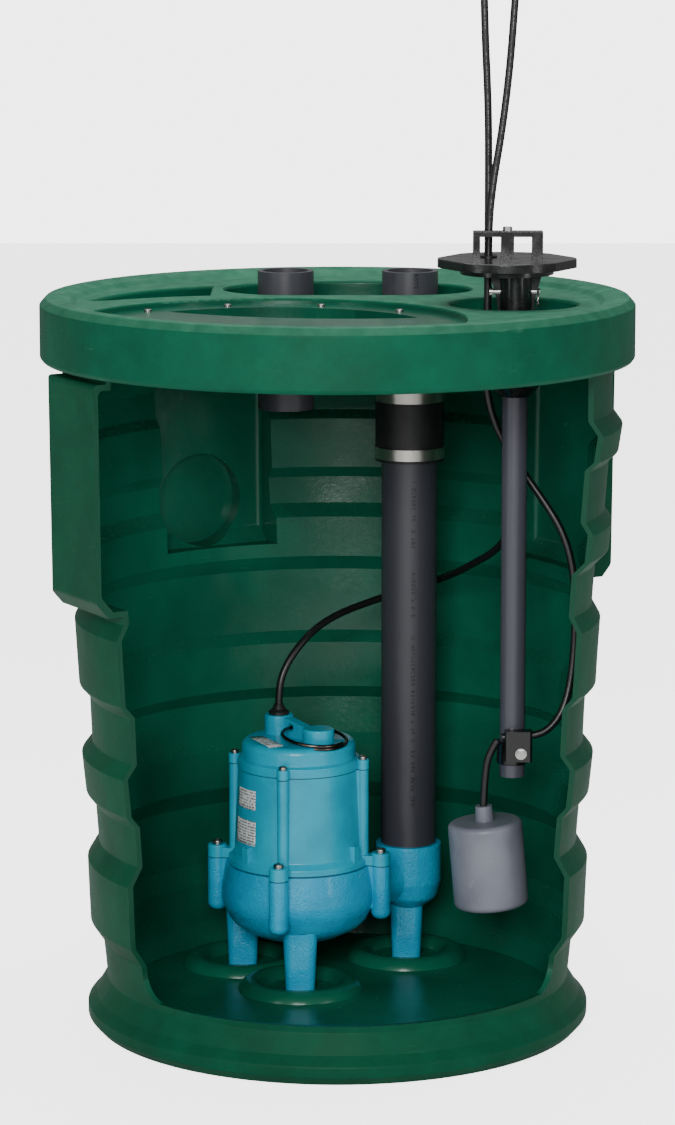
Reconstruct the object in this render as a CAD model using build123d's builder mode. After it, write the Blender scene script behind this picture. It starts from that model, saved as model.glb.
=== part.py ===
from build123d import *
import math
import os

# Packaged sump pump: a submersible pump standing in a moulded polyethylene basin with a
# display window cut in its side, a recessed lid with pipe stubs, and a float switch hung
# on a rod under a lift-out access cover.
# Frame: origin at the centre of the basin's foot, +Z up, the window faces -Y. Millimetres.

# ---- Basin
WALL = 6.0
FLOOR_TOP = 25.0
FLOOR_THICK = 7.0
FOOT_R = 267.0
FOOT_TRIM = 1.0
BASIN_TOP = 758.0
BASIN_ROUND = 6.0
# (radius, height) of the outer wall from foot to rim: five stiffening bulges
WALL_LINE = [
    (246, 50), (250, 92), (263.5, 112), (266, 178), (254, 198), (257, 240), (267, 252),
    (271, 292), (260, 306), (262, 356), (273, 368), (277, 437), (268, 453), (271, 497),
    (285, 511), (288, 540), (280, 552), (284, 606), (294, 615), (298, 642), (287, 657),
    (287, 738),
]
RIM_R = 297.0
RIM_THICK = 10.0
PANEL_AZIMUTHS = (30, 120, 210)
PANEL_DIST = 301.0
PANEL_HALF_WIDTH = 75.0
PANEL_TOP = 701.0
PANEL_BOTTOM = 478.0
PANEL_SHOULDER = 16.0
PANEL_ROOT = 240.0
POCKET_R = 51.0
POCKET_DEPTH = 15.0
POCKET_Z = 519.0
POCKET_SHIFT = 8.0
POCKET_AZIMUTH = 120
WINDOW_FROM = -144
WINDOW_TO = -25
WINDOW_BOTTOM = 57.0
WINDOW_ROUND = 28.0
RING_R = 52.0
RING_MINOR = 16.0
RING_SINK = 5.0

# ---- Lid
LID_R = 310.0
LID_TOP = 773.7
LID_SKIRT_BOTTOM = 708.3
LID_SKIRT = 8.0
DECK_Z = 766.0
TUB_WALL = 6.0
STUB_WELL_FLOOR = 742.0
SIDE_WELL_FLOOR = 750.0
CRESCENT_FLOOR = 759.5
CRESCENT_DEEP_FLOOR = 742.0
CRESCENT_CENTRE = (-66, -150)
CRESCENT_R = 196.0
CRESCENT_DEEP_R = 160.0
CRESCENT_FRONT_CENTRE = (10, 195)
CRESCENT_FRONT_R = 293.0
DECK_R = 268.0
HATCH_CENTRE = (183, -12)
HATCH_R = 66.5
HATCH_COLLAR_BOTTOM = 736.0
LIP_ROUND = 4.0
CRESCENT_LIP_ROUND = 3.0
LID_SCREW_ANGLES = (137, 106, 74, 43)
LID_SCREW_PITCH_R = 178.0
LID_SCREW_HEAD_R = 4.2
LID_SCREW_HEAD_H = 2.4
LID_SCREW_R = 2.4
LID_SCREW_HOLE_R = 2.6
LID_SCREW_LENGTH = 5.0

# ---- Pipes, 2 inch schedule 80
PIPE_R = 30.15
PIPE_BORE_R = 24.6
STUB_TOP = 785.4
DISCHARGE_X = 78.0
VENT_X = -55.7
STUB_Y = 139.0
VENT_BOTTOM = 636.0
PIPE_JOINT_Z = 620.0
PIPE_GAP = 1.0
SEAL_R = 36.0
SEAL_FLANGE_R = 41.0
SEAL_FLANGE_H = 3.0
COUPLING_R = 37.0
COUPLING_Z = (580.0, 660.0)
CLAMP_BAND_T = 1.0
CLAMP_BAND_W = 12.0
CLAMP_EDGE = 3.0

# ---- Pump
PUMP_X, PUMP_Y = -42.0, 65.0
VOLUTE_TOP = 151.5
VOLUTE_BOTTOM = 71.0
GASKET_T = 1.0
HOUSING_TOP = 256.5
HOUSING_R_LOW = 69.5
HOUSING_R_HIGH = 65.5
HOUSING_BORE_R = 61.0
HOUSING_FLOOR_T = 16.0
FLANGE_R = 76.0
FLANGE_T = 6.0
BOLT_ANGLES = (-103, -13, 77, 167)
CAP_BOLT_R = 71.0
CAP_BOSS_R = 6.3
EAR_BOLT_R = 91.0
EAR_R = 10.5
EAR_BOTTOM = 93.0
EAR_CAP_H = 13.5
CAP_R = 61.6
CAP_RING_R = 66.0
CAP_RING_H = 9.5
CAP_TOP = 288.0
CAP_ROUND = 8.0
CAP_WALL = 6.6
HANDLE_ANGLE = -50.0
HANDLE_REACH = 33.5
CORD_BOSS_R = 15.5
CORD_BOSS_TOP = 309.0
KNOB_R = 17.0
KNOB_TOP = 304.0
WEB_T = 10.0
GLAND_R = 9.0
GLAND_DEPTH = 12.0
GLAND_TOP = 320.0
BAIL_HOLE_R = 4.5
BAIL_HOLE_AT = -7.4
BAIL_HOLE_Z = 298.5
BAIL_R = 34.7
BAIL_WIRE_R = 1.75
BAIL_TILT = 8.8
HUB_R = 36.0
HUB_TOP = 155.0
HUB_SEAT = 125.0
HUB_BOTTOM = 84.0
DUCT_R = 28.0
DUCT_BORE_R = 20.0
DUCT_Z = 118.0
LEG_TOP = 104.0
FRONT_LEG = (-40, 10)
LEFT_LEG = (-104, 112)
HUB_LEG = (76, 141)
SHAFT_R = 6.0
RUNNING = 0.05
ROTOR_R = 35.5
AIR_GAP = 0.6
IMPELLER_R = 56.0
LOWER_BEARING_R = 16.0
UPPER_BEARING_R = 14.0
BEARING_H = 10.0
SCREW_R = 2.5
EAR_SCREW_R = 3.0
SCREW_CLEARANCE = 0.15

# ---- Access cover and float rod
COVER_X, COVER_Y = 175.8, -12.0
COVER_Z = 804.0
COVER_R = 72.3
COVER_FLAT = 68.0
COVER_T = 9.0
PLUG_R = 48.5
PLUG_T = 7.0
HANDLE_X = (140.3, 212.8)
HANDLE_D = 12.0
HANDLE_BAR_Z = (835.3, 841.6)
HANDLE_POSTS = ((140.3, 147.6), (169.3, 182.8), (201.4, 212.8))
HANDLE_BOLT_X = 176.0
ROD_X = 185.0
ROD_R = 13.35
ROD_BORE_R = 9.4
ROD_BOTTOM = 264.0
SOCKET_R = 16.5
SOCKET_FIT = 0.15
SOCKET_BOTTOM = 740.0
SOCKET_ROOF = 790.0
PIN_Z = 778.5
PIN_R = 3.2
COLLAR_Z = (669.0, 702.0)
COLLAR_R = 27.0
CORD_R = 4.0
CORD_X = 157.0
FLOAT_CORD_Y = 0.0
PUMP_CORD_Y = 13.0
GROMMET_R = 7.5
GROMMET_LIP = 1.5
CORD_SLIP = 0.4

# ---- Rod clamp and float
CLAMP_Z = (278.0, 302.0)
CLAMP_R = 16.5
LUG_X = (176.0, 205.0)
LUG_Y = (-39.0, -22.0)
LUG_Z = (284.0, 316.5)
FLOAT_Y = -31.0
LUG_CORD_Z = 309.5
FLOAT_BOTTOM = (163.6, 127.8)
FLOAT_TOP = (155.6, 219.7)
FLOAT_R = 39.5
FLOAT_WALL = 3.0
FLOAT_ROUND = 6.0
NECK_R = 10.0
NECK_H = 16.0
PIVOT = (168.5, FLOAT_Y, 306.0)
PLUG_Z = 1092.0
PLUG_BODY_H = 42.0
PLUG_BODY_R = 13.0


def polar(radius, angle, centre=(0.0, 0.0)):
    turn = math.radians(angle)
    return (centre[0] + radius * math.cos(turn), centre[1] + radius * math.sin(turn))


def radial_plane(angle, origin=(0, 0, 0)):
    """Upright plane: local x runs outwards at the angle, local y is up."""
    turn = math.radians(angle)
    return Plane(origin=origin, x_dir=(math.cos(turn), math.sin(turn), 0),
                 z_dir=(math.sin(turn), -math.cos(turn), 0))


def save(part, name):
    part.label = name
    export_step(part, f"parts/{name}.step")


def turned(points, centre, rounds=None):
    """A solid of revolution about the vertical through centre, from (radius, height) points.

    With rounds, one radius for each inner corner, the outline starts and ends on the axis."""
    with BuildPart() as blank:
        with BuildSketch(Plane.XZ.offset(-centre[1]).shift_origin((centre[0], centre[1], 0))):
            with BuildLine():
                if rounds:
                    side = FilletPolyline(*points, radius=rounds)
                    Line(side @ 1, side @ 0)
                else:
                    Polyline(*points, close=True)
            make_face()
        revolve(axis=Axis((centre[0], centre[1], 0), (0, 0, 1)))
    return blank.part


def tube(outer_r, inner_r, low, high, centre):
    with BuildPart() as ring:
        with BuildSketch(Plane.XY.offset(low)):
            with Locations(centre):
                Circle(outer_r)
                Circle(inner_r, mode=Mode.SUBTRACT)
        extrude(amount=high - low)
    return ring.part


PUMP_AXIS = (PUMP_X, PUMP_Y)
DISCHARGE = (DISCHARGE_X, STUB_Y)
VENT = (VENT_X, STUB_Y)
ROD = (ROD_X, COVER_Y)
PLUG_BOTTOM = COVER_Z - PLUG_T
COVER_TOP = COVER_Z + COVER_T
HOUSING_BOTTOM = VOLUTE_TOP + GASKET_T
CAP_BOTTOM = HOUSING_TOP + GASKET_T


# ================================ Basin ================================
def wall_outline(inset):
    return [(radius - inset, height) for radius, height in WALL_LINE]


def panel_block(angle, inset, top):
    """Flat boss on the wall, for a pipe entry; the same shape inset makes its hollow."""
    face = PANEL_DIST - inset
    low = PANEL_BOTTOM + inset
    with BuildPart() as block:
        with BuildSketch(radial_plane(angle)):
            with BuildLine():
                Polyline((PANEL_ROOT, top), (face, top), (face - 2, low),
                         (face - PANEL_SHOULDER, low - PANEL_SHOULDER),
                         (PANEL_ROOT, low - PANEL_SHOULDER), close=True)
            make_face()
        extrude(amount=PANEL_HALF_WIDTH - inset, both=True)
        outward = Vector(*polar(1, angle), 0)
        front = block.faces().sort_by(Axis((0, 0, 0), tuple(outward)))[-1]
        fillet(front.edges(), radius=BASIN_ROUND)
    return block.part


with BuildPart() as cavity:
    add(turned([(0, FLOOR_TOP), (WALL_LINE[0][0] - WALL - 6, FLOOR_TOP)] + wall_outline(WALL)
               + [(WALL_LINE[-1][0] - WALL, BASIN_TOP + 10), (0, BASIN_TOP + 10)], (0, 0)))
    for angle in PANEL_AZIMUTHS:
        add(panel_block(angle, WALL, PANEL_TOP - WALL))
    pocket_plane = radial_plane(POCKET_AZIMUTH)
    pocket_out = Plane(
        origin=(*polar(PANEL_DIST - WALL - 20, POCKET_AZIMUTH), 0),
        x_dir=-pocket_plane.z_dir, z_dir=pocket_plane.x_dir)
    with BuildSketch(pocket_out):
        with Locations((POCKET_SHIFT, POCKET_Z)):
            Circle(POCKET_R)
    extrude(amount=20 + POCKET_DEPTH)
    for spot in (FRONT_LEG, LEFT_LEG, HUB_LEG):
        add(Solid.make_torus(RING_R, RING_MINOR, Plane((*spot, FLOOR_TOP - RING_SINK))),
            mode=Mode.SUBTRACT)

with BuildPart() as window:
    with BuildSketch(Plane.XY.offset(WINDOW_BOTTOM)):
        with BuildLine():
            middle = (WINDOW_FROM + WINDOW_TO) / 2
            Polyline(polar(150, WINDOW_TO), polar(420, WINDOW_TO), polar(620, middle),
                     polar(420, WINDOW_FROM), polar(150, WINDOW_FROM), close=True)
        make_face()
    extrude(amount=BASIN_TOP + 20 - WINDOW_BOTTOM)
    low_edges = window.edges().group_by(Axis.Z)[0]
    for angle in (WINDOW_FROM, WINDOW_TO):
        radial = low_edges.filter_by(Axis((0, 0, 0), (*polar(1, angle), 0)))
        fillet(radial, radius=WINDOW_ROUND)

with BuildPart() as basin:
    foot = [(0, FLOOR_TOP - FLOOR_THICK), (226, FLOOR_TOP - FLOOR_THICK), (234, -FOOT_TRIM), (258, -FOOT_TRIM),
            (FOOT_R, 9), (FOOT_R, 20), (258, 30)]
    rim = [(RIM_R, BASIN_TOP - RIM_THICK), (RIM_R, BASIN_TOP), (0, BASIN_TOP)]
    with BuildSketch(Plane.XZ):
        with BuildLine():
            outline = FilletPolyline(*foot, *WALL_LINE, *rim, radius=BASIN_ROUND / 2)
            Line(outline @ 1, outline @ 0)
        make_face()
    revolve(axis=Axis.Z)
    for angle in PANEL_AZIMUTHS:
        add(panel_block(angle, 0, PANEL_TOP))
    with BuildSketch(pocket_out):
        with Locations((POCKET_SHIFT, POCKET_Z)):
            Circle(POCKET_R + WALL)
    extrude(amount=20 + POCKET_DEPTH + WALL)
    add(cavity.part, mode=Mode.SUBTRACT)
    add(window.part, mode=Mode.SUBTRACT)
    split(bisect_by=Plane.XY, keep=Keep.TOP)
save(basin.part, "basin")


# ================================ Lid ================================
STUB_MIDDLE = (DISCHARGE_X + VENT_X) / 2
STUB_SPREAD = DISCHARGE_X - VENT_X


def stub_well(low, high, grow):
    with BuildPart() as well:
        with BuildSketch(Plane.XY.offset(low)):
            with Locations((STUB_MIDDLE, STUB_Y)):
                SlotCenterToCenter(STUB_SPREAD, 2 * (SEAL_FLANGE_R + 25 + grow))
            with Locations((STUB_MIDDLE, STUB_Y + 12)):
                Ellipse(112 + grow, 76 + grow)
        extrude(amount=high - low)
    return well.part


def side_well(low, high, grow):
    with BuildPart() as well:
        with BuildSketch(Plane.XY.offset(low)):
            with BuildLine():
                back = ThreePointArc((-136, 172), (-215, 108), (-258, 14))
                front = ThreePointArc((-240, 20), (-186, 52), (-136, 68))
                Line(back @ 1, front @ 0)
                Line(front @ 1, back @ 0)
            make_face()
            if grow:
                offset(amount=grow)
        extrude(amount=high - low)
    return well.part


def crescent_well(low, high, radius, front_centre, front_radius):
    with BuildPart() as well:
        with BuildSketch(Plane.XY.offset(low)):
            with Locations(CRESCENT_CENTRE):
                Circle(radius)
            with Locations(front_centre):
                Circle(front_radius, mode=Mode.INTERSECT)
        extrude(amount=high - low)
    return well.part


def is_lip(brink):
    """An edge of a well or hole in the deck, inside the raised rim."""
    ends = (brink @ 0, brink @ 0.5)
    level = all(abs(end.Z - DECK_Z) < 0.01 for end in ends)
    return level and math.hypot(ends[1].X, ends[1].Y) < DECK_R - 1


def on_circle(brink, centre, radius):
    spot = brink @ 0.5
    return abs(math.hypot(spot.X - centre[0], spot.Y - centre[1]) - radius) < 0.5


with BuildPart() as lid:
    edge = [(0, BASIN_TOP), (LID_R - LID_SKIRT, BASIN_TOP), (LID_R - LID_SKIRT, LID_SKIRT_BOTTOM),
            (LID_R - 3, LID_SKIRT_BOTTOM), (LID_R, LID_SKIRT_BOTTOM + 4), (LID_R, LID_TOP - 8),
            (LID_R - 7, LID_TOP), (290, LID_TOP), (278, LID_TOP - 3), (DECK_R + 4, DECK_Z),
            (0, DECK_Z)]
    with BuildSketch(Plane.XZ):
        with BuildLine():
            section = FilletPolyline(*edge, radius=3)
            Line(section @ 1, section @ 0)
        make_face()
    revolve(axis=Axis.Z)
    add(stub_well(STUB_WELL_FLOOR - TUB_WALL, BASIN_TOP, TUB_WALL))
    add(side_well(SIDE_WELL_FLOOR - TUB_WALL, BASIN_TOP, TUB_WALL))
    add(crescent_well(CRESCENT_FLOOR - TUB_WALL, BASIN_TOP, CRESCENT_R + TUB_WALL, (0, 0),
                      DECK_R + TUB_WALL))
    add(crescent_well(CRESCENT_DEEP_FLOOR - TUB_WALL, BASIN_TOP, CRESCENT_DEEP_R + TUB_WALL,
                      CRESCENT_FRONT_CENTRE, CRESCENT_FRONT_R + TUB_WALL))
    add(tube(HATCH_R + TUB_WALL, HATCH_R, HATCH_COLLAR_BOTTOM, BASIN_TOP, HATCH_CENTRE))
    cut_top = DECK_Z + 1
    add(stub_well(STUB_WELL_FLOOR, cut_top, 0), mode=Mode.SUBTRACT)
    add(side_well(SIDE_WELL_FLOOR, cut_top, 0), mode=Mode.SUBTRACT)
    add(crescent_well(CRESCENT_FLOOR, cut_top, CRESCENT_R, (0, 0), DECK_R), mode=Mode.SUBTRACT)
    add(crescent_well(CRESCENT_DEEP_FLOOR, cut_top, CRESCENT_DEEP_R, CRESCENT_FRONT_CENTRE,
                      CRESCENT_FRONT_R), mode=Mode.SUBTRACT)
    with Locations((*HATCH_CENTRE, DECK_Z)):
        Hole(HATCH_R, depth=2 * (DECK_Z - HATCH_COLLAR_BOTTOM))
    with Locations((*DISCHARGE, STUB_WELL_FLOOR), (*VENT, STUB_WELL_FLOOR)):
        Hole(SEAL_R, depth=2 * TUB_WALL)
    screw_spots = [polar(LID_SCREW_PITCH_R, angle, CRESCENT_CENTRE) for angle in LID_SCREW_ANGLES]
    with Locations(*[(*spot, CRESCENT_FLOOR) for spot in screw_spots]):
        Hole(LID_SCREW_HOLE_R, depth=LID_SCREW_LENGTH)
    deck_edges = [brink for brink in lid.edges() if is_lip(brink)]
    crescent_lip = [brink for brink in deck_edges if on_circle(brink, CRESCENT_CENTRE, CRESCENT_R)]
    fillet([brink for brink in deck_edges if brink not in crescent_lip], radius=LIP_ROUND)
    crescent_lip = [brink for brink in lid.edges()
                    if is_lip(brink) and on_circle(brink, CRESCENT_CENTRE, CRESCENT_R)]
    fillet(crescent_lip, radius=CRESCENT_LIP_ROUND)
save(lid.part, "lid")

with BuildPart() as lid_screws:
    for spot in screw_spots:
        with BuildSketch(Plane.XY.offset(CRESCENT_FLOOR - LID_SCREW_LENGTH + 0.5)):
            with Locations(spot):
                Circle(LID_SCREW_R)
        extrude(amount=LID_SCREW_LENGTH - 0.5)
        with BuildSketch(Plane.XY.offset(CRESCENT_FLOOR)):
            with Locations(spot):
                Circle(LID_SCREW_HEAD_R)
        extrude(amount=LID_SCREW_HEAD_H)
    fillet(lid_screws.edges().group_by(Axis.Z)[-1], radius=1.2)
save(lid_screws.part, "lid_screws")


# ================================ Pipes ================================
with BuildPart() as stub_seals:
    for spot in (DISCHARGE, VENT):
        add(turned([(PIPE_R, STUB_WELL_FLOOR - TUB_WALL - SEAL_FLANGE_H),
                    (SEAL_FLANGE_R, STUB_WELL_FLOOR - TUB_WALL - SEAL_FLANGE_H),
                    (SEAL_FLANGE_R, STUB_WELL_FLOOR - TUB_WALL), (SEAL_R, STUB_WELL_FLOOR - TUB_WALL),
                    (SEAL_R, STUB_WELL_FLOOR), (SEAL_FLANGE_R, STUB_WELL_FLOOR),
                    (SEAL_FLANGE_R, STUB_WELL_FLOOR + SEAL_FLANGE_H),
                    (PIPE_R, STUB_WELL_FLOOR + SEAL_FLANGE_H)], spot))
save(stub_seals.part, "stub_seals")

with BuildPart() as vent_stub:
    add(tube(PIPE_R, PIPE_BORE_R, VENT_BOTTOM, STUB_TOP, VENT))
save(vent_stub.part, "vent_stub")

with BuildPart() as discharge_stub:
    add(tube(PIPE_R, PIPE_BORE_R, PIPE_JOINT_Z + PIPE_GAP, STUB_TOP, DISCHARGE))
save(discharge_stub.part, "discharge_stub")

with BuildPart() as discharge_pipe:
    add(tube(PIPE_R, PIPE_BORE_R, HUB_SEAT, PIPE_JOINT_Z - PIPE_GAP, DISCHARGE))
save(discharge_pipe.part, "discharge_pipe")

with BuildPart() as pipe_coupling:
    add(tube(COUPLING_R, PIPE_R, COUPLING_Z[0], COUPLING_Z[1], DISCHARGE))
save(pipe_coupling.part, "pipe_coupling")

BAND_STARTS = (COUPLING_Z[0] + CLAMP_EDGE, COUPLING_Z[1] - CLAMP_EDGE - CLAMP_BAND_W)
with BuildPart() as coupling_clamps:
    for low in BAND_STARTS:
        add(tube(COUPLING_R + CLAMP_BAND_T, COUPLING_R, low, low + CLAMP_BAND_W, DISCHARGE))
        housing_plane = radial_plane(120, (*DISCHARGE, 0))
        with BuildSketch(housing_plane):
            with Locations((COUPLING_R + CLAMP_BAND_T + 4, low + CLAMP_BAND_W / 2)):
                RectangleRounded(9, 13, 3)
        extrude(amount=9, both=True)
        with BuildSketch(housing_plane.offset(9)):
            with Locations((COUPLING_R + CLAMP_BAND_T + 4, low + CLAMP_BAND_W / 2)):
                RegularPolygon(4, 6)
        extrude(amount=4)
    add(tube(COUPLING_R, PIPE_R, COUPLING_Z[0], COUPLING_Z[1], DISCHARGE), mode=Mode.SUBTRACT)
save(coupling_clamps.part, "coupling_clamps")


# ================================ Pump castings ================================
HUB_DIRECTION = math.degrees(math.atan2(STUB_Y - PUMP_Y, DISCHARGE_X - PUMP_X))
HUB_DISTANCE = math.hypot(STUB_Y - PUMP_Y, DISCHARGE_X - PUMP_X)
EAR_SPOTS = [polar(EAR_BOLT_R, angle, PUMP_AXIS) for angle in BOLT_ANGLES]
CAP_SPOTS = [polar(CAP_BOLT_R, angle, PUMP_AXIS) for angle in BOLT_ANGLES]


def post(spot, radius, low, high, round_low=0.0, round_high=0.0):
    with BuildPart() as stub:
        with BuildSketch(Plane.XY.offset(low)):
            with Locations(spot):
                Circle(radius)
        extrude(amount=high - low)
        if round_low:
            fillet(stub.edges().group_by(Axis.Z)[0], radius=round_low)
        if round_high:
            fillet(stub.edges().group_by(Axis.Z)[-1], radius=round_high)
    return stub.part


def spoke(angle, inner, outer, width, low, high):
    with BuildPart() as bar:
        with BuildSketch(Plane.XY.offset(low)):
            with Locations(Location((*polar((inner + outer) / 2, angle, PUMP_AXIS), 0), angle)):
                Rectangle(outer - inner, width)
        extrude(amount=high - low)
    return bar.part


def leg(spot, top):
    with BuildPart() as foot_leg:
        with BuildSketch(Plane.XY.offset(FLOOR_TOP)):
            with Locations(spot):
                RectangleRounded(31, 27, 7)
        with BuildSketch(Plane.XY.offset(top)):
            with Locations(spot):
                RectangleRounded(38, 33, 9)
        loft()
    return foot_leg.part


with BuildPart() as volute:
    add(turned([(0, VOLUTE_BOTTOM), (44, VOLUTE_BOTTOM), (70, 84), (84.5, 110), (83, 130), (79, VOLUTE_TOP),
                (0, VOLUTE_TOP)], PUMP_AXIS, (24, 34, 34, 16, 0)))
    add(turned([(0, HUB_BOTTOM), (18, HUB_BOTTOM), (31, 94), (HUB_R, 112), (HUB_R, HUB_TOP),
                (0, HUB_TOP)], DISCHARGE, (6, 10, 10, 1.5)))
    for spot, angle in zip(EAR_SPOTS, BOLT_ANGLES):
        add(post(spot, EAR_R, EAR_BOTTOM, VOLUTE_TOP, round_low=8))
        add(spoke(angle, 60, EAR_BOLT_R, 15, EAR_BOTTOM + 12, VOLUTE_TOP))
    duct_plane = Plane(origin=(PUMP_X, PUMP_Y, DUCT_Z), x_dir=(0, 0, 1),
                       z_dir=(*polar(1, HUB_DIRECTION), 0))
    with BuildSketch(duct_plane):
        Circle(DUCT_R)
    extrude(amount=HUB_DISTANCE)
    for spot, top in ((FRONT_LEG, LEG_TOP - 6), (LEFT_LEG, LEG_TOP + 6), (HUB_LEG, LEG_TOP)):
        add(leg(spot, top))
    add(turned([(0, 88), (60, 88), (70, 104), (70, VOLUTE_TOP + 1), (0, VOLUTE_TOP + 1)],
               PUMP_AXIS), mode=Mode.SUBTRACT)
    add(turned([(0, 96), (PIPE_BORE_R, 96), (PIPE_BORE_R, HUB_SEAT), (PIPE_R, HUB_SEAT),
                (PIPE_R, HUB_TOP + 1), (0, HUB_TOP + 1)], DISCHARGE), mode=Mode.SUBTRACT)
    with BuildSketch(duct_plane.offset(60)):
        Circle(DUCT_BORE_R)
    extrude(amount=HUB_DISTANCE - 60, mode=Mode.SUBTRACT)
    with Locations((PUMP_X, PUMP_Y, 88)):
        Hole(28, depth=20)
    with Locations(*[(*spot, VOLUTE_TOP) for spot in EAR_SPOTS]):
        Hole(EAR_SCREW_R + SCREW_CLEARANCE, depth=26)
save(volute.part, "volute")

FRONT_LUG_ANGLES = (-140, -33, 40, 147)
with BuildPart() as motor_housing:
    add(turned([(0, HOUSING_BOTTOM), (FLANGE_R, HOUSING_BOTTOM), (FLANGE_R, HOUSING_BOTTOM + FLANGE_T),
                (HOUSING_R_LOW, HOUSING_BOTTOM + FLANGE_T + 6), (HOUSING_R_HIGH, HOUSING_TOP),
                (0, HOUSING_TOP)], PUMP_AXIS, (0, 1.5, 3, 0)))
    for spot, ear, angle in zip(CAP_SPOTS, EAR_SPOTS, BOLT_ANGLES):
        add(post(spot, CAP_BOSS_R, HOUSING_BOTTOM + 4, HOUSING_TOP))
        add(spoke(angle, 55, CAP_BOLT_R, 2 * CAP_BOSS_R - 1, HOUSING_BOTTOM + 4, HOUSING_TOP))
        add(post(ear, EAR_R, HOUSING_BOTTOM, HOUSING_BOTTOM + EAR_CAP_H, round_high=2))
        add(spoke(angle, 60, EAR_BOLT_R, 15, HOUSING_BOTTOM, HOUSING_BOTTOM + EAR_CAP_H - 3))
    for angle in FRONT_LUG_ANGLES:
        add(spoke(angle, 60, FLANGE_R - 1, 9, HOUSING_BOTTOM + 2, HOUSING_BOTTOM + 25))
    add(turned([(0, HOUSING_BOTTOM + HOUSING_FLOOR_T), (HOUSING_BORE_R, HOUSING_BOTTOM + HOUSING_FLOOR_T),
                (HOUSING_BORE_R, HOUSING_TOP + 1), (0, HOUSING_TOP + 1)], PUMP_AXIS), mode=Mode.SUBTRACT)
    add(turned([(0, HOUSING_BOTTOM - 1), (13, HOUSING_BOTTOM - 1),
                (13, HOUSING_BOTTOM + HOUSING_FLOOR_T - BEARING_H),
                (LOWER_BEARING_R, HOUSING_BOTTOM + HOUSING_FLOOR_T - BEARING_H),
                (LOWER_BEARING_R, HOUSING_BOTTOM + HOUSING_FLOOR_T + 1),
                (0, HOUSING_BOTTOM + HOUSING_FLOOR_T + 1)], PUMP_AXIS), mode=Mode.SUBTRACT)
    with Locations(*[(*spot, HOUSING_TOP) for spot in CAP_SPOTS]):
        Hole(SCREW_R + SCREW_CLEARANCE, depth=18)
    with Locations(*[(*spot, HOUSING_BOTTOM + EAR_CAP_H) for spot in EAR_SPOTS]):
        Hole(EAR_SCREW_R + SCREW_CLEARANCE, depth=EAR_CAP_H + 1)
save(motor_housing.part, "motor_housing")

BOSS_SPOT = polar(HANDLE_REACH, HANDLE_ANGLE + 180, PUMP_AXIS)
KNOB_SPOT = polar(HANDLE_REACH, HANDLE_ANGLE, PUMP_AXIS)
WEB_PLANE = radial_plane(HANDLE_ANGLE, (PUMP_X, PUMP_Y, 0))
with BuildPart() as motor_cap:
    add(turned([(0, CAP_BOTTOM), (CAP_RING_R, CAP_BOTTOM), (CAP_RING_R, CAP_BOTTOM + CAP_RING_H),
                (CAP_R, CAP_BOTTOM + CAP_RING_H + 2), (CAP_R, CAP_TOP), (0, CAP_TOP)], PUMP_AXIS,
               (0, 1.5, 1, CAP_ROUND)))
    for spot, angle in zip(CAP_SPOTS, BOLT_ANGLES):
        add(post(spot, CAP_BOSS_R + 0.4, CAP_BOTTOM, CAP_BOTTOM + CAP_RING_H + 1, round_high=1))
    add(post(BOSS_SPOT, CORD_BOSS_R, CAP_TOP - CAP_WALL, CORD_BOSS_TOP, round_high=1.5))
    add(post(KNOB_SPOT, KNOB_R, CAP_TOP - CAP_WALL, KNOB_TOP, round_high=2))
    with BuildSketch(WEB_PLANE):
        with BuildLine():
            web_top = Spline((-HANDLE_REACH, CORD_BOSS_TOP - 0.5), (-16, CORD_BOSS_TOP - 1.5),
                             (2, KNOB_TOP + 0.6), (HANDLE_REACH, KNOB_TOP - 1))
            Polyline(web_top @ 1, (HANDLE_REACH, CAP_TOP - CAP_WALL),
                     (-HANDLE_REACH, CAP_TOP - CAP_WALL), web_top @ 0)
        make_face()
    extrude(amount=WEB_T / 2, both=True)
    add(turned([(0, CAP_BOTTOM - 1), (CAP_R - CAP_WALL, CAP_BOTTOM - 1), (CAP_R - CAP_WALL, CAP_TOP - CAP_WALL),
                (0, CAP_TOP - CAP_WALL)], PUMP_AXIS), mode=Mode.SUBTRACT)
    add(post(PUMP_AXIS, UPPER_BEARING_R + 5, CAP_BOTTOM + 6, CAP_TOP - 1))
    with Locations((*PUMP_AXIS, CAP_BOTTOM + 6)):
        Hole(UPPER_BEARING_R, depth=BEARING_H + 4)
    with BuildSketch(WEB_PLANE):
        with Locations((BAIL_HOLE_AT, BAIL_HOLE_Z)):
            Circle(BAIL_HOLE_R)
    extrude(amount=WEB_T, both=True, mode=Mode.SUBTRACT)
    with Locations((*BOSS_SPOT, CORD_BOSS_TOP)):
        Hole(GLAND_R, depth=GLAND_DEPTH)
    with Locations(*[(*spot, CAP_BOTTOM + CAP_RING_H + 1) for spot in CAP_SPOTS]):
        Hole(SCREW_R + SCREW_CLEARANCE, depth=CAP_RING_H + 2)
save(motor_cap.part, "motor_cap")

with BuildPart() as cap_gasket:
    add(tube(HOUSING_R_HIGH - 0.5, CAP_R - CAP_WALL, HOUSING_TOP, CAP_BOTTOM, PUMP_AXIS))
    for spot, angle in zip(CAP_SPOTS, BOLT_ANGLES):
        add(post(spot, CAP_BOSS_R - 0.4, HOUSING_TOP, CAP_BOTTOM))
        add(spoke(angle, HOUSING_R_HIGH - 4, CAP_BOLT_R, 2 * CAP_BOSS_R - 2, HOUSING_TOP, CAP_BOTTOM))
    with Locations(*[(*spot, CAP_BOTTOM) for spot in CAP_SPOTS]):
        Hole(SCREW_R + SCREW_CLEARANCE, depth=2 * GASKET_T)
save(cap_gasket.part, "cap_gasket")

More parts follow.
